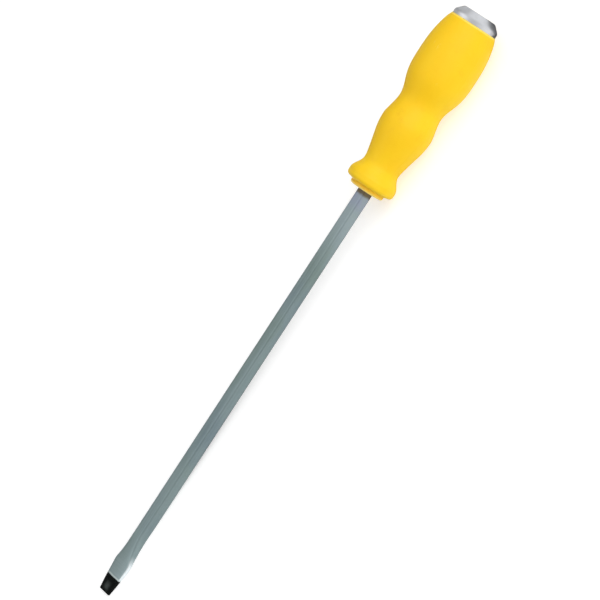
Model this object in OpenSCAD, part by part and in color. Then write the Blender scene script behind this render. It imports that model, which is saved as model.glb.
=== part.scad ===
// Slotted screwdriver for striking and prying: a one-piece square blade that
// runs right through a cushioned two-lobe handle into a riveted steel cap.
// Millimetres. The tool lies along +X with the driving edge at the origin and
// the struck face at the far end. The blade's wide faces look along +Z and -Z.

/* [Blade] */
// Width of the driving edge
tip_w = 8; // [6:0.5:10]
// Thickness of the driving edge
tip_t = 1.2; // [0.8:0.1:1.8]
// Visible length from the driving edge to the handle
shank_len = 250; // [150:10:350]
// Square shank, across its flats
shank_af = 6.35; // [6:0.05:7]
// Corner radius of the square shank
shank_corner_r = 1; // [0.6:0.1:1.2]
// Widest part of the forged flare
flare_w = 12.4; // [11:0.1:14]
// Distance from the driving edge to the widest part
flare_at = 17.8; // [15:0.1:22]

/* [Handle] */
// Length of the handle with its cap
handle_len = 108; // [102:1:116]
// Diameter of the rear, larger lobe
rear_lobe_d = 34.2; // [33:0.2:37]
// Diameter of the front, smaller lobe
front_lobe_d = 29.2; // [28.4:0.2:31]
// Diameter of the waist between the lobes
waist_d = 25.2; // [24.6:0.2:27]
// Diameter of the neck behind the flange
neck_d = 20.6; // [20:0.2:22]
// Diameter of the thumb flange at the front
flange_d = 27.4; // [26.4:0.2:30]
// Diameter of the core's bare nose
nose_d = 19.4; // [17:0.2:19.8]

/* [Cap] */
// Diameter of the steel cap
cap_d = 25.8; // [24:0.1:26.4]
// Height of the cap that shows behind the grip
cap_h = 6.2; // [5.6:0.1:8]
// Diameter of the cap's flat struck face
cap_face_d = 17.2; // [15:0.1:19]
// Diameter of the tang's spigot inside the cap
spigot_d = 5.4; // [4.6:0.1:5.6]

/* [Hidden] */
$fn = 64;

STEEL = [0.56, 0.60, 0.61];
CAP_STEEL = [0.68, 0.69, 0.71];
YELLOW = [0.98, 0.80, 0.08];
CORE_YELLOW = [0.93, 0.72, 0.06];

// Stations along the tool
nose_x = shank_len;
end_x = shank_len + handle_len;
cap_x = end_x - cap_h;

// Forged end: thickness at the flare, and where it has become the square shank
shank_half = shank_af / 2;
flare_half_t = 1.58;
shoulder_half_t = 2.55;
forge_end = flare_at + 18.2;

// Tang: coined thinner than the shank, with two crossed pairs of wings
tang_t = shank_af - 0.55;
wing_len = 14;
wing_span = 11;
wing_t = 2.6;
wing_lead = 3;
wing_stations = [nose_x + 19, nose_x + 72];

// Cap hub, moulded into the core behind an undercut
hub_r = 8;
hub_len = 6.5;
undercut_r = 6.8;
undercut_w = 2;
hub_x = cap_x - hub_len;
rivet_r = 4.2;
rivet_h = 2.2;

// Handle radii
rear_r = rear_lobe_d / 2;
front_r = front_lobe_d / 2;
waist_r = waist_d / 2;
neck_r = neck_d / 2;
flange_r = flange_d / 2;
nose_r = nose_d / 2;
cap_r = cap_d / 2;

// Handle stations, measured from the nose
nose_len = 2.2;
rim_at = 5;
rim_round = 2.2;
neck_at = 0.139 * handle_len;
front_lobe_at = 0.361 * handle_len;
waist_at = 0.477 * handle_len;
rear_lobe_at = 0.718 * handle_len;
grip_end = handle_len - cap_h;
lip_round = 0.9;

// Core
wall = 2.4;
core_neck_r = neck_r - wall + 0.3;
core_rear_r = rear_r - wall - 1.2;
rib_count = 3;
rib_w = 2;
rib_h = 1.1;

curve_steps = 6;
arc_steps = 6;

// The value part of the way from a to b.
function mix(a, b, part) = a + (b - a) * part;

// Point of a smooth curve from key a to key b, each [station, radius, slope].
function blend(a, b, t) =
    let (h = b[0] - a[0])
    [
        a[0] + h * t,
        (2 * t ^ 3 - 3 * t ^ 2 + 1) * a[1] + (t ^ 3 - 2 * t ^ 2 + t) * h * a[2]
        + (3 * t ^ 2 - 2 * t ^ 3) * b[1] + (t ^ 3 - t ^ 2) * h * b[2]
    ];

// Points of the smooth curve through all the keys.
function curve(keys) = [
    for (i = [0 : len(keys) - 2])
        for (s = [0 : curve_steps - 1]) blend(keys[i], keys[i + 1], s / curve_steps),
    [keys[len(keys) - 1][0], keys[len(keys) - 1][1]]
];

// Points of an arc about a [station, radius] centre, from one angle to another.
function arc(centre, r, from, to) = [
    for (s = [0 : arc_steps])
        let (a = mix(from, to, s / arc_steps))
        [centre[0] + r * cos(a), centre[1] + r * sin(a)]
];

// The same points, measured from the driving edge instead of the nose.
function from_nose(points) = [for (p = points) [p[0] + nose_x, p[1]]];

// The points closed by their own mirror image below the axis.
function both_sides(points) = concat(
    points, [for (i = [len(points) - 1 : -1 : 0]) [points[i][0], -points[i][1]]]
);

// A solid of revolution about the X axis from [station, radius] points.
module lathe(points) {
    rotate([0, 90, 0]) rotate_extrude() polygon([for (p = points) [p[1], p[0]]]);
}

// A bar along X with flat sides and round corners.
module bar(from, to, width, thickness, corner) {
    translate([from, 0, 0]) rotate([90, 0, 90]) linear_extrude(to - from) {
        square([width - 2 * corner, thickness], center = true);
        square([width, thickness - 2 * corner], center = true);
        for (y = [-1, 1], z = [-1, 1])
            translate([y * (width / 2 - corner), z * (thickness / 2 - corner)])
                circle(corner);
    }
}

// ---- Blade ----

// Half width of the forged end, seen from above
plan_keys = [
    [0, tip_w / 2, 0.15],
    [flare_at - 2, flare_w / 2 - 0.22, 0.12],
    [flare_at, flare_w / 2, 0],
    [flare_at + 1.8, flare_w / 2 - 0.36, -0.32],
    [flare_at + 6.2, mix(shank_half, flare_w / 2, 0.5), -0.24],
    [flare_at + 12.7, mix(shank_half, flare_w / 2, 0.13), -0.12],
    [forge_end, shank_half, 0]
];

// Half thickness of the forged end, seen from the side
side_keys = [
    [0, tip_t / 2, 0.055],
    [flare_at, flare_half_t, 0.07],
    [flare_at + 9.5, shoulder_half_t, 0.11],
    [forge_end, shank_half, 0]
];

// Distance from the axis at which the forging's corners are rounded off
corner_far = (shank_half - shank_corner_r) * sqrt(2) + shank_corner_r;
corner_keys = [
    [flare_at - 4, flare_w / 2 + 1, 0],
    [flare_at + 6, corner_far + 1.15, -0.12],
    [forge_end, corner_far, 0]
];

module forged_end() {
    intersection() {
        linear_extrude(flare_w, center = true) polygon(both_sides(curve(plan_keys)));
        rotate([90, 0, 0]) linear_extrude(flare_w + 4, center = true)
            polygon(both_sides(curve(side_keys)));
        lathe(concat(
            [[0, 0], [0, flare_w / 2 + 1]], curve(corner_keys), [[forge_end, 0]]
        ));
    }
}

// A pair of wings squeezed out of the tang, along Y.
module wing_pair() {
    root = shank_half - 0.5;
    edge = [
        [-wing_len / 2, root],
        [-wing_len / 2 + wing_lead, wing_span / 2],
        [wing_len / 2 - wing_lead, wing_span / 2],
        [wing_len / 2, root]
    ];
    linear_extrude(wing_t, center = true) polygon(both_sides(edge));
}

module tang() {
    bar(nose_x, hub_x, shank_af, tang_t, shank_corner_r);
    for (i = [0 : len(wing_stations) - 1])
        translate([wing_stations[i], 0, 0]) rotate([90 * i, 0, 0]) wing_pair();
    // Spigot through the cap, its end peened into the countersink and ground flush
    lathe([
        [hub_x, 0], [hub_x, spigot_d / 2], [end_x - rivet_h, spigot_d / 2],
        [end_x, rivet_r], [end_x, 0]
    ]);
}

module blade() {
    color(STEEL) {
        forged_end();
        bar(forge_end, nose_x, shank_af, shank_af, shank_corner_r);
        tang();
    }
}

// ---- Steel cap ----

module strike_cap() {
    shoulder = 2.2;
    face_edge = 1.5;
    chamfer = 45;
    face_r = cap_face_d / 2;
    // Where the shoulder's arc must sit for the chamfer to touch both arcs
    run = cap_r - shoulder - face_r + (shoulder - face_edge) * sqrt(2);
    shoulder_centre = [end_x - face_edge - run, cap_r - shoulder];
    color(CAP_STEEL) lathe(concat(
        [[hub_x, spigot_d / 2], [hub_x, hub_r], [hub_x + undercut_w, hub_r]],
        [[hub_x + undercut_w, undercut_r], [cap_x, undercut_r], [cap_x, cap_r]],
        arc(shoulder_centre, shoulder, 90, chamfer),
        arc([end_x - face_edge, face_r], face_edge, chamfer, 0),
        [[end_x, rivet_r], [end_x - rivet_h, spigot_d / 2]]
    ));
}

// ---- Hard core ----

// The core under the grip: straight cones between turning points
core_line = [
    [nose_len, core_neck_r],
    [neck_at + 3, core_neck_r],
    [front_lobe_at, front_r - wall - 0.6],
    [waist_at, waist_r - wall],
    [rear_lobe_at - 8, core_rear_r],
    [rear_lobe_at + 9, core_rear_r],
    [grip_end, cap_r - 1.4]
];

module core_body() {
    nose_round = 1.3;
    lathe(from_nose(concat(
        [[0, 0]],
        arc([nose_round, nose_r - nose_round], nose_round, 180, 90),
        [[nose_len, nose_r]],
        core_line,
        [[grip_end, 0]]
    )));
}

// Lengthwise ribs that stop the grip turning on the core
module core_ribs() {
    top = core_rear_r + rib_h;
    intersection() {
        lathe(from_nose([
            [waist_at + 4, 0], [rear_lobe_at - 12, top], [rear_lobe_at + 10, top],
            [grip_end - 3, 0]
        ]));
        for (i = [0 : rib_count - 1])
            rotate([180 / rib_count * (i + 0.5), 0, 0])
                translate([nose_x, -rear_r, -rib_w / 2])
                    cube([handle_len, 2 * rear_r, rib_w]);
    }
}

module core_outside() {
    core_body();
    core_ribs();
}

module handle_core() {
    color(CORE_YELLOW) difference() {
        core_outside();
        tang();
        // Pocket that the cap's hub and undercut fill
        lathe([
            [hub_x, 0], [hub_x, hub_r], [hub_x + undercut_w, hub_r],
            [hub_x + undercut_w, undercut_r], [end_x, undercut_r], [end_x, 0]
        ]);
    }
}

// ---- Soft grip ----

grip_keys = [
    [rim_at + 1.8, flange_r, -0.08],
    [neck_at - 4.6, mix(neck_r, flange_r, 0.56), -0.68],
    [neck_at, neck_r, 0],
    [mix(neck_at, front_lobe_at, 0.2), mix(neck_r, front_r, 0.17), 0.22],
    [mix(neck_at, front_lobe_at, 0.57), mix(neck_r, front_r, 0.67), 0.26],
    [front_lobe_at, front_r, 0],
    [mix(front_lobe_at, waist_at, 0.5), mix(front_r, waist_r, 0.53), -0.2],
    [waist_at, waist_r, 0],
    [mix(waist_at, rear_lobe_at, 0.31), mix(waist_r, rear_r, 0.43), 0.38],
    [mix(waist_at, rear_lobe_at, 0.54), mix(waist_r, rear_r, 0.83), 0.2],
    [rear_lobe_at, rear_r, 0],
    [mix(rear_lobe_at, grip_end, 0.6), mix(rear_r, cap_r, 0.27), -0.2],
    [grip_end - lip_round, cap_r + 0.6, -0.46]
];

module grip_outside() {
    lathe(from_nose(concat(
        [[nose_len, 0], [nose_len, nose_r]],
        arc([rim_at, flange_r - rim_round], rim_round, 180, 90),
        curve(grip_keys),
        [[grip_end, cap_r + 0.1]],
        [[grip_end, 0]]
    )));
}

module cushion_grip() {
    color(YELLOW) difference() {
        grip_outside();
        core_outside();
    }
}

blade();
handle_core();
cushion_grip();
strike_cap();
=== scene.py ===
import math
import random

import bmesh
import bpy
from mathutils import Matrix, Vector
from mathutils.bvhtree import BVHTree


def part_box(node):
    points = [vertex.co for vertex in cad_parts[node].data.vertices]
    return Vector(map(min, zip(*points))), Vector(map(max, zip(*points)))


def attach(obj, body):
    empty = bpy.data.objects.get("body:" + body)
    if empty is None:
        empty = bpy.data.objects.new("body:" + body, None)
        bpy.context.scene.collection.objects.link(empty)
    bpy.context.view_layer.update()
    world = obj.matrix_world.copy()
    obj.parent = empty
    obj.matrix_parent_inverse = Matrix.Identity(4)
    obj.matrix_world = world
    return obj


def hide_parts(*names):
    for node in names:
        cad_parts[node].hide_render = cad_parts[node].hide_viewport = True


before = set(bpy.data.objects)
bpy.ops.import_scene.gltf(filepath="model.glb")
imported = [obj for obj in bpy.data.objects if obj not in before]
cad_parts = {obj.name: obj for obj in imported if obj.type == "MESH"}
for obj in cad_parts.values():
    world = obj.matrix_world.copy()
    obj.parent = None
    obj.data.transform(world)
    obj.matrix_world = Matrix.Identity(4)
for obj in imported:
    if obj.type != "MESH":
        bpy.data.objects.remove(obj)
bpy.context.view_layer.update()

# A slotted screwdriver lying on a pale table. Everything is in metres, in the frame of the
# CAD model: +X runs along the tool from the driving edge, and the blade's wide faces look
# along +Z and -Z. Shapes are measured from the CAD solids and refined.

MM = 0.001

# Angles about the axis, from +Y towards +Z. The slant is for parts that are round.
SIDE, UP, SLANT = 0.0, math.pi / 2, 0.3

# Stations along the tool, read from the CAD nodes
NOSE_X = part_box("handle_core")[0].x
GRIP_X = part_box("cushion_grip")[0].x
CAP_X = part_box("cushion_grip")[1].x
HUB_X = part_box("strike_cap")[0].x
END_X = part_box("strike_cap")[1].x
TIP_COAT = 9.3 * MM            # the black finish reaches this far from the driving edge
FLARE_X = 20 * MM              # the middle of the forged flare
SHOULDER_END = 36 * MM         # the forging has become the square shank

# How finely the new meshes are divided
SIDE_STEPS, CORNER_STEPS = 8, 4    # each side and each corner of the bar
GRIP_POINTS, CAP_POINTS = 160, 200
CURVE_STEPS = 4                    # between two rings of the CAD outline

# Studio
HORIZON_LIGHT = 0.12
ZENITH_LIGHT = 0.68
KEY_FROM = (0.8, -0.76, 0.85)
KEY_LIGHT = 1.7
KEY_SHINE = 1.1
STEEL_FROM = (-0.1, 0.3, 0.95)
STEEL_LIGHT = 1.02
BUTT_LIGHT = 0.9
FRONT_LIGHT = 0.6
TABLE_GLOW = 0.51


# ---- Measuring the CAD solids ----

def surface_tree(node):
    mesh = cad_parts[node].data
    return BVHTree.FromPolygons([v.co for v in mesh.vertices], [p.vertices for p in mesh.polygons])


TREES = {node: surface_tree(node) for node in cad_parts}


def reach(node, x, angle):
    """How far the node's outside is from the axis at a station."""
    clear = 0.1
    out = Vector((0, math.cos(angle), math.sin(angle)))
    hit = TREES[node].ray_cast(Vector((x, 0, 0)) + out * clear, -out)[0]
    return Vector((hit.y, hit.z)).length if hit else 0.0


def outline(node, low, high):
    """[(x, r)] of the rings that the node's own outside is made of, front to back."""
    inset, tolerance = 0.002 * MM, 0.03 * MM
    rings = {}
    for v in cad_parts[node].data.vertices:
        if low <= v.co.x <= high:
            key = round(v.co.x / MM, 3)
            rings[key] = max(rings.get(key, 0.0), math.hypot(v.co.y, v.co.z))
    kept = []
    for key, radius in sorted(rings.items()):
        x = min(max(key * MM, low + inset), high - inset)
        if radius > reach(node, x, SLANT) - tolerance:
            kept.append((key * MM, radius))
    return kept


def rivet():
    """The radii of the tang's spigot and of its peened head, and where the cap's countersink starts."""
    spigot = reach("blade", HUB_X + 1 * MM, SLANT)
    head = reach("blade", END_X - 0.01 * MM, SLANT)
    sink_depth, sink_flare = 2.2, 1.5
    return spigot, head, END_X - (head - spigot) * sink_depth / sink_flare


# ---- Mesh tools ----

def spline(points):
    """The points with a smooth curve drawn through them."""
    out = []
    for i in range(len(points) - 1):
        p = [Vector(points[min(max(i + k, 0), len(points) - 1)]) for k in (-1, 0, 1, 2)]
        for step in range(CURVE_STEPS):
            t = step / CURVE_STEPS
            out.append(0.5 * (
                2 * p[1] + (p[2] - p[0]) * t
                + (2 * p[0] - 5 * p[1] + 4 * p[2] - p[3]) * t ** 2
                + (3 * p[1] - p[0] - 3 * p[2] + p[3]) * t ** 3
            ))
    out.append(Vector(points[-1]))
    return [(p.x, p.y) for p in out]


def add_object(name, data):
    obj = bpy.data.objects.new(name, data)
    bpy.context.scene.collection.objects.link(obj)
    return obj


def shade_smooth(mesh, sharp_degrees):
    """Smooth shading, but edges that turn by more than this stay crisp."""
    mesh.polygons.foreach_set("use_smooth", [True] * len(mesh.polygons))
    mesh.set_sharp_from_angle(angle=math.radians(sharp_degrees))


def new_object(name, verts, faces):
    mesh = bpy.data.meshes.new(name)
    mesh.from_pydata(verts, [], faces)
    mesh.validate()
    shade_smooth(mesh, 40)
    return add_object(name, mesh)


def object_from(made, name):
    """An object of what a bmesh holds. It frees the bmesh."""
    mesh = bpy.data.meshes.new(name)
    made.to_mesh(mesh)
    made.free()
    return add_object(name, mesh)


def skin_loops(name, loops, closed_ring):
    """Joins rings of points that all have the same count: a ring-shaped solid, or a bar with flat ends."""
    n = len(loops[0])
    verts = [p for loop in loops for p in loop]
    faces = []
    pairs = len(loops) if closed_ring else len(loops) - 1
    for i in range(pairs):
        a, b = i * n, (i + 1) % len(loops) * n
        faces += [(a + k, a + (k + 1) % n, b + (k + 1) % n, b + k) for k in range(n)]
    if not closed_ring:
        faces.append(tuple(reversed(range(n))))
        faces.append(tuple(range((len(loops) - 1) * n, len(loops) * n)))
    return new_object(name, verts, faces)


def circle_loop(x, radius, count, seam=0.0):
    """A ring of points about the axis, with a raised mould seam along +Y and -Y if asked."""
    turn = 2 * math.pi / count
    spots = [(k * turn, 0.0) for k in range(count) if seam == 0 or k % (count // 2)]
    if seam:
        ridge = ((-0.016, 0.0), (-0.007, seam), (0.0, 1.2 * seam), (0.007, seam), (0.016, 0.0))
        spots += [(side + offset, height) for side in (0, math.pi) for offset, height in ridge]
    spots = sorted((angle % (2 * math.pi), height) for angle, height in spots)
    return [(x, (radius + up) * math.cos(angle), (radius + up) * math.sin(angle)) for angle, up in spots]


def apply_modifiers(obj):
    graph = bpy.context.evaluated_depsgraph_get()
    mesh = bpy.data.meshes.new_from_object(obj.evaluated_get(graph))
    obj.modifiers.clear()
    obj.data = mesh


def boolean(obj, other, operation):
    cut = obj.modifiers.new(operation.lower(), "BOOLEAN")
    cut.operation = operation
    cut.solver = "EXACT"
    cut.object = other
    apply_modifiers(obj)
    bpy.data.objects.remove(other)


def clean_up(obj, sharp_degrees):
    """Tidies what a boolean leaves: welds slivers, keeps only the outermost body, and shades it smooth."""
    weld, sliver = 0.002 * MM, 0.001 * MM
    made = bmesh.new()
    made.from_mesh(obj.data)
    bmesh.ops.remove_doubles(made, verts=made.verts, dist=weld)
    bmesh.ops.dissolve_degenerate(made, edges=made.edges, dist=sliver)
    frontier = [max(made.verts, key=lambda v: math.hypot(v.co.y, v.co.z))]
    kept = set(frontier)
    while frontier:
        for edge in frontier.pop().link_edges:
            fresh = [v for v in edge.verts if v not in kept]
            kept.update(fresh)
            frontier += fresh
    bmesh.ops.delete(made, geom=[v for v in made.verts if v not in kept], context="VERTS")
    made.to_mesh(obj.data)
    made.free()
    shade_smooth(obj.data, sharp_degrees)


def cad_copy(node):
    """A welded copy of a CAD node's mesh, to cut with."""
    weld = 0.0005 * MM
    made = bmesh.new()
    made.from_mesh(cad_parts[node].data)
    bmesh.ops.remove_doubles(made, verts=made.verts, dist=weld)
    return object_from(made, node + "_copy")


def soften(obj, width):
    edge = obj.modifiers.new("soft_edges", "BEVEL")
    edge.width = width
    edge.segments = 2
    edge.limit_method = "ANGLE"
    edge.angle_limit = math.radians(35)
    apply_modifiers(obj)


# ---- Materials ----

def srgb(red, green, blue):
    """A display colour, 0 to 255, as the linear colour that a shader takes."""
    def linear(c):
        c /= 255
        return c / 12.92 if c < 0.04045 else ((c + 0.055) / 1.055) ** 2.4
    return (linear(red), linear(green), linear(blue), 1.0)


class Paint:
    """A material built up node by node around one Principled shader."""

    def __init__(self, name, **sockets):
        self.material = bpy.data.materials.new(name)
        self.material.use_nodes = True
        self.tree = self.material.node_tree
        self.shader = next(n for n in self.tree.nodes if n.type == "BSDF_PRINCIPLED")
        for key, value in sockets.items():
            self.shader.inputs[key.replace("_", " ")].default_value = value
        self.place = self.add("ShaderNodeTexCoord").outputs["Object"]

    def add(self, kind, settings=None, **inputs):
        node = self.tree.nodes.new(kind)
        for key, value in (settings or {}).items():
            setattr(node, key, value)
        for key, value in inputs.items():
            self.feed(node.inputs[key.replace("_", " ")], value)
        return node

    def feed(self, socket, value):
        if isinstance(value, bpy.types.NodeSocket):
            self.tree.links.new(value, socket)
        else:
            socket.default_value = value

    def math(self, operation, a, b=0.0, c=0.0):
        node = self.add("ShaderNodeMath", {"operation": operation})
        for socket, value in zip(node.inputs, (a, b, c)):
            self.feed(socket, value)
        return node.outputs[0]

    def times(self, a, b):
        return self.math("MULTIPLY", a, b)

    def split(self, vector):
        return self.add("ShaderNodeSeparateXYZ", Vector=vector).outputs

    def noise(self, size, detail=3.0, roughness=0.5, stretch=(1, 1, 1), distortion=0.0):
        """Noise whose features are about size metres, longer along an axis by its stretch."""
        scale = [1 / s for s in stretch]
        mapped = self.add("ShaderNodeMapping", Vector=self.place, Scale=scale)
        node = self.add(
            "ShaderNodeTexNoise", Vector=mapped.outputs[0], Scale=0.5 / size, Detail=detail,
            Roughness=roughness, Distortion=distortion,
        )
        return node.outputs[0]

    def ramp(self, value, low, high, out_low=0.0, out_high=1.0):
        """A smooth step of the value, from out_low where it is low to out_high where it is high."""
        node = self.add("ShaderNodeMapRange", {"interpolation_type": "SMOOTHSTEP"})
        for socket, number in zip(node.inputs, (value, low, high, out_low, out_high)):
            self.feed(socket, number)
        return node.outputs[0]

    def mix(self, factor, a, b):
        node = self.add("ShaderNodeMix", {"data_type": "RGBA"})
        colour_sockets = [s for s in node.inputs if s.type == "RGBA"]
        self.feed(node.inputs[0], factor)
        self.feed(colour_sockets[0], a)
        self.feed(colour_sockets[1], b)
        return next(s for s in node.outputs if s.type == "RGBA")

    def bump(self, height, depth, strength, under=None):
        node = self.add("ShaderNodeBump", Height=height, Distance=depth, Strength=strength)
        if under is not None:
            self.feed(node.inputs["Normal"], under)
        return node.outputs[0]

    def finish(self, colour=None, roughness=None, normal=None):
        for name, value in (("Base Color", colour), ("Roughness", roughness), ("Normal", normal)):
            if value is not None:
                self.feed(self.shader.inputs[name], value)
        return self.material


def grip_material():
    paint = Paint("grip_soft_plastic", IOR=1.47, Specular_IOR_Level=0.22, Subsurface_Weight=0.12,
                  Subsurface_Radius=(1.0, 0.55, 0.1), Subsurface_Scale=2.0 * MM)
    cloud = paint.noise(22 * MM, detail=2)
    speck = paint.noise(0.9 * MM, detail=4, roughness=0.6)
    colour = paint.mix(paint.ramp(cloud, 0.35, 0.65), srgb(247, 199, 16), srgb(249, 208, 28))
    colour = paint.mix(paint.ramp(speck, 0.55, 0.8, 0, 0.25), colour, srgb(238, 184, 12))
    # Rubbed-in dirt in a few soft patches, and short scuffs from the tool box
    dirt = paint.noise(5 * MM, detail=5, roughness=0.65)
    colour = paint.mix(paint.ramp(dirt, 0.56, 0.8, 0, 0.35), colour, srgb(226, 168, 14))
    scuff = paint.ramp(paint.noise(0.3 * MM, detail=2, stretch=(9, 2, 2), distortion=0.6), 0.66, 0.74)
    scuff = paint.times(scuff, paint.ramp(paint.noise(9 * MM, detail=2), 0.45, 0.65))
    colour = paint.mix(paint.times(scuff, 0.4), colour, srgb(255, 228, 110))
    # Painted highlight: the rounded lip at the cap is painted paler, where it catches the light
    lip = paint.ramp(paint.split(paint.place)[0], CAP_X - 1.3 * MM, CAP_X - 0.5 * MM, 0, 0.55)
    colour = paint.mix(lip, colour, srgb(255, 228, 120))
    roughness = paint.math("MULTIPLY_ADD", scuff, 0.12, paint.ramp(speck, 0.3, 0.7, 0.42, 0.56))
    grain = paint.noise(0.35 * MM, detail=3, roughness=0.6)
    pebble = paint.add("ShaderNodeTexVoronoi", Vector=paint.place, Scale=1 / (0.7 * MM))
    normal = paint.bump(pebble.outputs[0], 0.07 * MM, 0.6)
    normal = paint.bump(grain, 0.03 * MM, 0.6, normal)
    normal = paint.bump(scuff, 0.02 * MM, 0.5, normal)
    return paint.finish(colour, roughness, normal)


def core_material():
    paint = Paint("core_hard_plastic", IOR=1.49, Specular_IOR_Level=0.3, Subsurface_Weight=0.08,
                  Subsurface_Radius=(1.0, 0.5, 0.1), Subsurface_Scale=1.5 * MM)
    cloud = paint.noise(6 * MM, detail=3)
    colour = paint.mix(paint.ramp(cloud, 0.35, 0.65), srgb(240, 186, 14), srgb(248, 196, 24))
    # Painted highlight: the rounded front edge of the nose is painted paler, as if it were lit
    nose_rim_highlight = paint.ramp(paint.split(paint.place)[0], NOSE_X + 0.3 * MM, NOSE_X + 1.5 * MM, 0.75, 0)
    colour = paint.mix(nose_rim_highlight, colour, srgb(255, 226, 122))
    roughness = paint.ramp(cloud, 0.3, 0.7, 0.32, 0.44)
    normal = paint.bump(paint.noise(0.6 * MM, detail=3), 0.01 * MM, 0.5)
    return paint.finish(colour, roughness, normal)


def blade_material():
    paint = Paint("blade_steel", Metallic=1.0)
    x, y, _ = paint.split(paint.place)
    patch = paint.noise(7 * MM, detail=4, roughness=0.6, stretch=(3, 1, 1))
    streak = paint.noise(0.5 * MM, detail=4, roughness=0.6, stretch=(60, 1, 1))
    pits = paint.noise(0.45 * MM, detail=5, roughness=0.65)
    hue = paint.noise(8 * MM, detail=3, stretch=(2, 1, 1), distortion=0.4)
    darker = paint.mix(paint.ramp(hue, 0.4, 0.6), srgb(116, 133, 128), srgb(115, 131, 137))
    steel = paint.mix(paint.ramp(patch, 0.3, 0.7), darker, srgb(133, 149, 150))
    steel = paint.mix(paint.ramp(streak, 0.42, 0.75, 0, 0.3), steel, srgb(158, 171, 174))
    steel = paint.mix(paint.ramp(pits, 0.6, 0.8, 0, 0.4), steel, srgb(80, 90, 91))
    # Paler towards the handle, then bluer, and a dark brown band where the shank enters it: painted shadow
    # and painted reflection of the flange's dark underside
    pale_from, pale_to, blue_to = 200 * MM, 236 * MM, 244 * MM
    pale = paint.ramp(x, pale_from, pale_to, 0, 0.55)
    steel = paint.mix(pale, steel, srgb(163, 176, 181))
    outside = paint.ramp(x, NOSE_X + 2 * MM, NOSE_X + 4 * MM, 1, 0)
    blue = paint.times(paint.ramp(x, pale_to, blue_to), paint.ramp(patch, 0.4, 0.6, 0.15, 0.6))
    steel = paint.mix(paint.times(blue, outside), steel, srgb(150, 156, 182))
    # Painted shadow and reflection of the flange, in a band with a ragged edge
    rough_x = paint.math("MULTIPLY_ADD", paint.noise(1.5 * MM, detail=3), 1.6 * MM, x)
    nose_shade = paint.ramp(rough_x, NOSE_X - 2.6 * MM, NOSE_X - 0.9 * MM, 0, 0.85)
    steel = paint.mix(paint.times(nose_shade, outside), steel, srgb(98, 82, 44))
    forged = paint.ramp(x, 22 * MM, 44 * MM, 0.5, 0)
    steel = paint.mix(forged, steel, srgb(150, 167, 169))
    # The ground end: cross-ground faces, and bare ground sides that are also painted near white as a painted
    # highlight
    grind = paint.noise(0.22 * MM, detail=3, stretch=(1, 40, 1))
    ground = paint.ramp(x, 16 * MM, 27 * MM, 1, 0)
    lines = paint.times(ground, paint.ramp(grind, 0.35, 0.7, 0, 0.8))
    steel = paint.mix(lines, steel, srgb(150, 164, 167))
    # The narrow sides near the flare are bare ground steel, painted near white to stand in for the highlight
    # they catch
    facing_y = paint.split(paint.add("ShaderNodeNewGeometry").outputs["Normal"])[1]
    edge_on = paint.ramp(paint.math("ABSOLUTE", facing_y), 0.2, 0.95)
    bare_side_and_highlight = paint.times(edge_on, paint.ramp(x, 17 * MM, 25 * MM, 1, 0))
    steel = paint.mix(bare_side_and_highlight, steel, srgb(234, 241, 243))
    # The black finish over the tip, with a bright line at its end and a lighter patch on its middle
    wobble = paint.math("MULTIPLY_ADD", paint.noise(2.5 * MM, detail=2), 0.5 * MM, x)
    line_starts = paint.ramp(wobble, TIP_COAT, TIP_COAT + 0.4 * MM)
    line_ends = paint.ramp(wobble, TIP_COAT + 0.7 * MM, TIP_COAT + 1.4 * MM, 1, 0)
    line = paint.times(line_starts, line_ends)
    steel = paint.mix(paint.times(line, 0.7), steel, srgb(196, 206, 204))
    coat = paint.ramp(wobble, TIP_COAT, TIP_COAT + 0.35 * MM, 1, 0)
    black = paint.mix(paint.ramp(pits, 0.35, 0.75), srgb(9, 11, 10), srgb(30, 34, 32))
    patch_noise = paint.noise(1.1 * MM, detail=5, roughness=0.65)
    along = paint.math("MULTIPLY_ADD", patch_noise, 2.4 * MM, x)
    across = paint.math("MULTIPLY_ADD", patch_noise, 1.8 * MM, paint.math("ABSOLUTE", y))
    pale_middle = paint.times(
        paint.ramp(along, 1.8 * MM, 4.0 * MM), paint.ramp(along, 4.8 * MM, 8.2 * MM, 1, 0),
    )
    pale_middle = paint.times(pale_middle, paint.ramp(across, 1.2 * MM, 4.0 * MM, 0.6, 0))
    black = paint.mix(pale_middle, black, srgb(84, 90, 88))
    colour = paint.mix(coat, steel, black)
    roughness = paint.ramp(patch, 0.3, 0.7, 0.38, 0.5)
    roughness = paint.math("MULTIPLY_ADD", streak, 0.08, roughness)
    normal = paint.bump(streak, 0.02 * MM, 0.6)
    normal = paint.bump(pits, 0.03 * MM, 0.5, normal)
    normal = paint.bump(paint.times(grind, ground), 0.02 * MM, 0.7, normal)
    return paint.finish(colour, roughness, normal)


def cap_material():
    """Turned steel: fine rings about the axis, on the side and on the struck face."""
    paint = Paint("cap_steel", Metallic=1.0)
    x, y, z = paint.split(paint.place)
    ring_pitch = 0.35 * MM
    square = paint.math("ADD", paint.math("POWER", y, 2.0), paint.math("POWER", z, 2.0))
    across = paint.math("SQRT", square)
    rings = paint.math("SINE", paint.times(paint.math("ADD", across, x), 2 * math.pi / ring_pitch))
    patch = paint.noise(5 * MM, detail=4, roughness=0.6)
    steel = paint.mix(paint.ramp(patch, 0.3, 0.7), srgb(202, 204, 207), srgb(216, 218, 222))
    roughness = paint.ramp(patch, 0.3, 0.7, 0.4, 0.52)
    normal = paint.bump(rings, 0.006 * MM, 0.5)
    normal = paint.bump(paint.noise(0.5 * MM, detail=4, roughness=0.6), 0.02 * MM, 0.5, normal)
    return paint.finish(steel, roughness, normal)


def dress(obj, material):
    obj.data.materials.clear()
    obj.data.materials.append(material)


# ---- Blade ----

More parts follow.
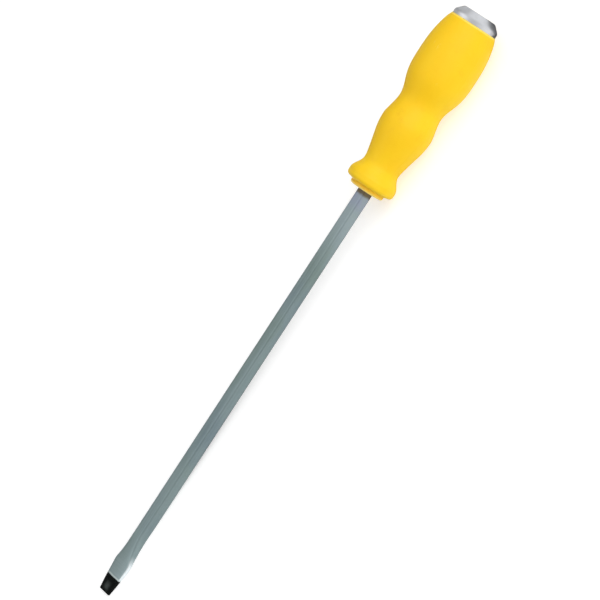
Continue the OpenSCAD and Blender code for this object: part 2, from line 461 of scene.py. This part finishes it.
def rounded_section(x, half_y, half_z, corner, crown=0.0):
    """A rectangle with round corners, as one loop of points. Its wide faces fall by crown to their edges."""
    signs = ((1, 1), (-1, 1), (-1, -1), (1, -1))

    def on_corner(quarter, angle):
        sign_y, sign_z = signs[quarter % 4]
        y = sign_y * (half_y - corner) + corner * math.cos(angle)
        z = sign_z * (half_z - corner) + corner * math.sin(angle)
        return (x, y, z)

    loop = []
    for quarter in range(4):
        start = quarter * math.pi / 2
        angles = [start + k / CORNER_STEPS * math.pi / 2 for k in range(CORNER_STEPS + 1)]
        loop += [on_corner(quarter, angle) for angle in angles]
        first, last = Vector(loop[-1]), Vector(on_corner(quarter + 1, start + math.pi / 2))
        loop += [tuple(first.lerp(last, k / SIDE_STEPS)) for k in range(1, SIDE_STEPS)]
    fall = crown / half_z
    return [(px, py, pz * (1 - fall * abs(py / half_y) ** 3)) for px, py, pz in loop]


def round_section(x, radius):
    """A circle whose points pair up with those of rounded_section."""
    ring = circle_loop(x, radius, 4 * (SIDE_STEPS + CORNER_STEPS))
    shift = SIDE_STEPS // 2
    return ring[shift:] + ring[:shift]


def corner_radius(x):
    """Ground corners are crisp, forged ones are rounder, and the bar's own are the roundest."""
    crisp, forged, drawn = 0.1 * MM, 0.7 * MM, 1.0 * MM
    start, full = TIP_COAT - 1 * MM, SHOULDER_END * 0.45
    if x < start:
        return crisp
    if x < full:
        return crisp + (forged - crisp) * (x - start) / (full - start)
    if x < SHOULDER_END:
        return forged + (drawn - forged) * (x - full) / (SHOULDER_END - full)
    return drawn


def face_crown(x):
    """The wide faces of the flare are slightly domed."""
    crown, spread = 0.36 * MM, 15 * MM
    swell = max(0.0, 1 - abs(x - FLARE_X) / spread)
    return crown * swell * (2 - swell)


def bar_rows():
    """The tip, the flare and the shank, up to the handle. The driving edge is eased."""
    edge, ease = 0.004 * MM, 0.08 * MM
    near_tip = [edge, 0.1 * MM] + [k * 0.6 * MM for k in range(1, 64)]
    along_bar = [SHOULDER_END + k / 24 * (NOSE_X - SHOULDER_END) for k in range(4, 25)]
    stations = near_tip + along_bar
    halves = [
        [reach("blade", min(x, NOSE_X - 0.01 * MM), angle) for angle in (SIDE, UP)] for x in stations
    ]
    rows = []
    for i, x in enumerate(stations):
        # Each row of the forged end is the mean of itself and its neighbours
        near = halves[i - 2:i + 3] if 2 <= i < len(near_tip) - 2 else [halves[i]]
        half_y, half_z = [sum(pair[k] for pair in near) / len(near) for k in (0, 1)]
        rows.append(rounded_section(x, half_y, half_z, corner_radius(x), face_crown(x)))
    half_y, half_z = halves[0]
    rows[0] = rounded_section(0.0, half_y - ease, half_z - ease, corner_radius(0.0), face_crown(0.0))
    return rows


def tang_rows():
    """The coined tang, its round spigot through the cap, and the peened end that fills the countersink."""
    half_y, half_z = reach("blade", NOSE_X + 1 * MM, SIDE), reach("blade", NOSE_X + 1 * MM, UP)
    coined = [NOSE_X + 0.05 * MM] + [NOSE_X + k / 12 * (HUB_X - NOSE_X) for k in range(1, 13)]
    rows = [rounded_section(x, half_y, half_z, corner_radius(x)) for x in coined]
    spigot, head, sink_x = rivet()
    peened = (
        (HUB_X, spigot), (sink_x, spigot), (END_X - 0.1 * MM, head - 0.08 * MM), (END_X, head - 0.2 * MM),
        (END_X + 0.03 * MM, head * 0.8), (END_X + 0.05 * MM, head * 0.55), (END_X + 0.06 * MM, head * 0.3),
        (END_X + 0.06 * MM, head * 0.1),
    )
    return rows + [round_section(x, radius) for x, radius in peened]


def tang_wings():
    """The wings squeezed out of the tang, each a closed block with its foot sunk in the bar."""
    near, sink = 0.01 * MM, 0.3
    low, high = NOSE_X + 1 * MM, HUB_X - 1 * MM
    solid = [v.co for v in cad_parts["blade"].data.vertices if low < v.co.x < high]
    made = bmesh.new()
    for axis, angle in ((1, SIDE), (2, UP)):
        half = reach("blade", low, angle)
        top = max(v[axis] for v in solid)
        thick = max(abs(v[3 - axis]) for v in solid if v[axis] > top - near)
        for sign in (1, -1):
            block = [v for v in solid if v[axis] * sign > half - near and abs(v[3 - axis]) < thick + near]
            tops = [v for v in block if v[axis] * sign > top - near]
            feet = [v for v in block if v[axis] * sign < half + near]
            sunk = [v + sink * (v - min(tops, key=lambda u: (u - v).length)) for v in feet]
            hull = bmesh.ops.convex_hull(made, input=[made.verts.new(v) for v in tops + sunk])
            inside = hull["geom_interior"] + hull["geom_unused"]
            spare = [g for g in dict.fromkeys(inside) if isinstance(g, bmesh.types.BMVert)]
            bmesh.ops.delete(made, geom=spare, context="VERTS")
    return object_from(made, "wings")


def make_blade():
    blade = skin_loops("steel_blade", bar_rows() + tang_rows(), closed_ring=False)
    boolean(blade, tang_wings(), "UNION")
    clean_up(blade, 32)
    dress(blade, blade_material())
    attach(blade, "root")
    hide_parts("blade")


# ---- Handle ----

def seam_height(x):
    """The seam fades out on the flange's rim and at the lip."""
    least, most, run = 0.002, 0.05, 4 * MM
    start, end = GRIP_X + 6 * MM, CAP_X - 2 * MM
    fade = max(0.0, min(1.0, (x - start) / run, (end - x) / run))
    return (least + most * fade) * MM


def make_grip():
    lip = 0.6 * MM
    body = [(x, r) for x, r in spline(outline("cushion_grip", GRIP_X, CAP_X)) if x < CAP_X - lip]
    end_radius = body[-1][1]
    round_end = [
        (CAP_X - lip + lip * math.sin(a), end_radius - lip * (1 - math.cos(a)))
        for a in (k * math.pi / 12 for k in range(1, 7))
    ]
    loops = [circle_loop(x, r, GRIP_POINTS, seam_height(x)) for x, r in body + round_end]
    grip = skin_loops("cushion_grip_sleeve", loops, closed_ring=False)
    boolean(grip, cad_copy("handle_core"), "DIFFERENCE")
    clean_up(grip, 38)
    dress(grip, grip_material())
    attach(grip, "root")
    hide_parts("cushion_grip")


def hammer_marks(cap, face):
    """Shallow dents that hammer blows have left on the struck face and its rim, clear of the peened end."""
    chance = random.Random(7)
    count, rim, clear_of_rivet = 26, 1.2 * MM, 4.4 * MM
    marks = []
    for _ in range(count):
        angle = chance.uniform(0, 2 * math.pi)
        out = face * math.sqrt(chance.uniform(0.2, 1.1))
        size = chance.uniform(0.6, 1.6) * MM
        depth = chance.uniform(0.03, 0.1) * MM
        marks.append((out * math.cos(angle), out * math.sin(angle), size, depth))
    for v in cap.data.vertices:
        if v.co.x < END_X - rim or math.hypot(v.co.y, v.co.z) < clear_of_rivet:
            continue
        for y, z, size, depth in marks:
            near = 1 - ((v.co.y - y) ** 2 + (v.co.z - z) ** 2) / size ** 2
            if near > 0:
                v.co.x -= depth * near ** 2


def make_cap():
    shown = spline(outline("strike_cap", CAP_X, END_X))
    hub = outline("strike_cap", HUB_X, CAP_X)
    hub_radius = reach("strike_cap", HUB_X + 0.5 * MM, SLANT)
    neck_radius = reach("strike_cap", CAP_X - 0.5 * MM, SLANT)
    neck_x = next(x for x, _ in hub if x > HUB_X + 1.0 * MM)
    bore, head, sink_x = rivet()
    inner = [
        (HUB_X, bore), (HUB_X, hub_radius), (neck_x, hub_radius), (neck_x, neck_radius), (CAP_X, neck_radius),
    ]
    face = shown[-1][1]
    rings = int((face - head) / (0.35 * MM))
    flat = [(END_X, face + (head - face) * k / rings) for k in range(1, rings + 1)]
    profile = inner + shown + flat + [(sink_x, bore)]
    cap = skin_loops("striking_cap", [circle_loop(x, r, CAP_POINTS) for x, r in profile], closed_ring=True)
    soften(cap, 0.12 * MM)
    hammer_marks(cap, face)
    shade_smooth(cap.data, 50)
    dress(cap, cap_material())
    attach(cap, "root")
    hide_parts("strike_cap")


# ---- Stage ----

def make_floor():
    """A table top that the tip and the thumb flange rest on."""
    tip_low = Vector((0, 0, -reach("blade", 0.01 * MM, UP)))
    flange = max(outline("cushion_grip", GRIP_X, GRIP_X + 10 * MM), key=lambda p: p[1])
    rest = Vector((flange[0], 0, -flange[1]))
    along = (rest - tip_low).normalized()
    half = 20.0
    centre = (tip_low + rest) / 2
    sides = ((-half, -half), (half, -half), (half, half), (-half, half))
    verts = [centre + along * a + Vector((0, 1, 0)) * b for a, b in sides]
    floor = new_object("table_top", verts, [(0, 1, 2, 3)])
    paint = Paint("table_white", Roughness=0.6, Specular_IOR_Level=0.2, Emission_Color=(1, 1, 1, 1),
                  Emission_Strength=TABLE_GLOW)
    cloud = paint.noise(60 * MM, detail=3)
    tone = paint.mix(cloud, (0.62, 0.62, 0.618, 1), (0.66, 0.66, 0.658, 1))
    dress(floor, paint.finish(tone))
    # Metal sees the table behind the tool and under the cap as dark, as it would be under a real lamp
    behind_tip, by_shank, by_handle, by_cap = 3 * MM, -3.5 * MM, -10 * MM, -23 * MM
    far, far_handle = 15 * MM, 150 * MM
    before_tip, past_cap, above_table = -0.1, END_X + 40 * MM, 0.3 * MM
    shade_corners = (
        (before_tip, behind_tip), (SHOULDER_END, behind_tip), (SHOULDER_END * 2.5, by_shank),
        (NOSE_X - 5 * MM, by_shank), (NOSE_X, by_handle), (HUB_X, by_handle), (CAP_X, by_cap),
        (past_cap, by_cap), (past_cap, far_handle), (NOSE_X, far_handle), (NOSE_X - 5 * MM, far),
        (before_tip, far),
    )
    lift = along.cross(Vector((0, 1, 0))).normalized() * above_table
    verts = [tip_low + along * a + Vector((0, b, 0)) + lift for a, b in shade_corners]
    card = new_object("table_shade", verts, [tuple(range(len(shade_corners)))])
    dress(card, Paint("shade", Base_Color=(0.02, 0.02, 0.02, 1), Roughness=1.0).finish())
    card.visible_camera = card.visible_diffuse = card.visible_shadow = False
    card.visible_transmission = card.visible_volume_scatter = False


def softbox(name, direction, distance, size, radiance, seen_by):
    """A soft panel of light, size metres across, that shines at the tool's middle from a direction.

    It either lights only matt colours, or shows only in reflections.
    """
    light = bpy.data.lights.new(name, "AREA")
    light.shape = "RECTANGLE"
    light.size, light.size_y = size
    light.energy = radiance * math.pi * size[0] * size[1]
    obj = add_object(name, light)
    away = Vector(direction).normalized()
    obj.location = Vector((END_X / 2, 0, 0)) + away * distance
    obj.rotation_mode = "QUATERNION"
    obj.rotation_quaternion = (-away).to_track_quat("-Z", "Y")
    obj.visible_camera = False
    obj.visible_diffuse = seen_by == "matt"
    obj.visible_glossy = seen_by == "reflections"


def make_lights():
    """A white room that is dim near the horizon, one panel for the matt colours, and four to reflect."""
    world = bpy.data.worlds.new("studio")
    world.use_nodes = True
    tree = world.node_tree
    background = tree.nodes["Background"]
    split = tree.nodes.new("ShaderNodeSeparateXYZ")
    tree.links.new(tree.nodes.new("ShaderNodeTexCoord").outputs["Generated"], split.inputs[0])
    rise = tree.nodes.new("ShaderNodeMapRange")
    rise.interpolation_type = "SMOOTHSTEP"
    tree.links.new(split.outputs[2], rise.inputs[0])
    horizon_height, zenith_height = 0.05, 0.6
    numbers = (horizon_height, zenith_height, HORIZON_LIGHT, ZENITH_LIGHT)
    for socket, number in zip(list(rise.inputs)[1:], numbers):
        socket.default_value = number
    background.inputs["Color"].default_value = (1, 1, 1, 1)
    tree.links.new(rise.outputs[0], background.inputs["Strength"])
    bpy.context.scene.world = world
    softbox("key_panel", KEY_FROM, 1.6, (2.0, 1.8), KEY_LIGHT, "matt")
    softbox("key_shine", KEY_FROM, 1.6, (2.0, 1.8), KEY_SHINE, "reflections")
    softbox("steel_panel", STEEL_FROM, 2.0, (2.2, 1.2), STEEL_LIGHT, "reflections")
    softbox("butt_panel", (1, -0.1, 0.3), 1.8, (1.8, 1.0), BUTT_LIGHT, "reflections")
    softbox("front_panel", (0, -1, 0.22), 2.0, (2.4, 1.1), FRONT_LIGHT, "reflections")
    view = bpy.context.scene.view_settings
    view.view_transform = "Standard"
    view.look = "None"


# ---- Camera ----

def make_camera():
    """Looks at the blade's corner from square above the handle, with the tool leaning across the frame."""
    axis = Vector((1, 0, 0))
    roll, lean = math.radians(45), math.radians(33.12)
    square_on, distance = 0.334, 1.724
    aim_along, aim_across = 0.1842, 0.00233
    back = Vector((0, -math.cos(roll), math.sin(roll)))
    eye = axis * square_on + back * distance
    target = axis * aim_along + axis.cross(back) * aim_across
    out = (eye - target).normalized()
    along = (axis - out * axis.dot(out)).normalized()
    beside = along.cross(out)
    up = along * math.cos(lean) - beside * math.sin(lean)
    right = up.cross(out)
    lens = bpy.data.cameras.new("camera")
    lens.sensor_width = 36
    lens.lens = 200.4
    lens.clip_start, lens.clip_end = 0.05, 100
    camera = add_object("camera", lens)
    camera.matrix_world = Matrix.Translation(eye) @ Matrix((right, up, out)).transposed().to_4x4()
    bpy.context.scene.camera = camera


make_camera()
make_blade()
make_grip()
make_cap()
dress(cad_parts["handle_core"], core_material())
make_floor()
make_lights()
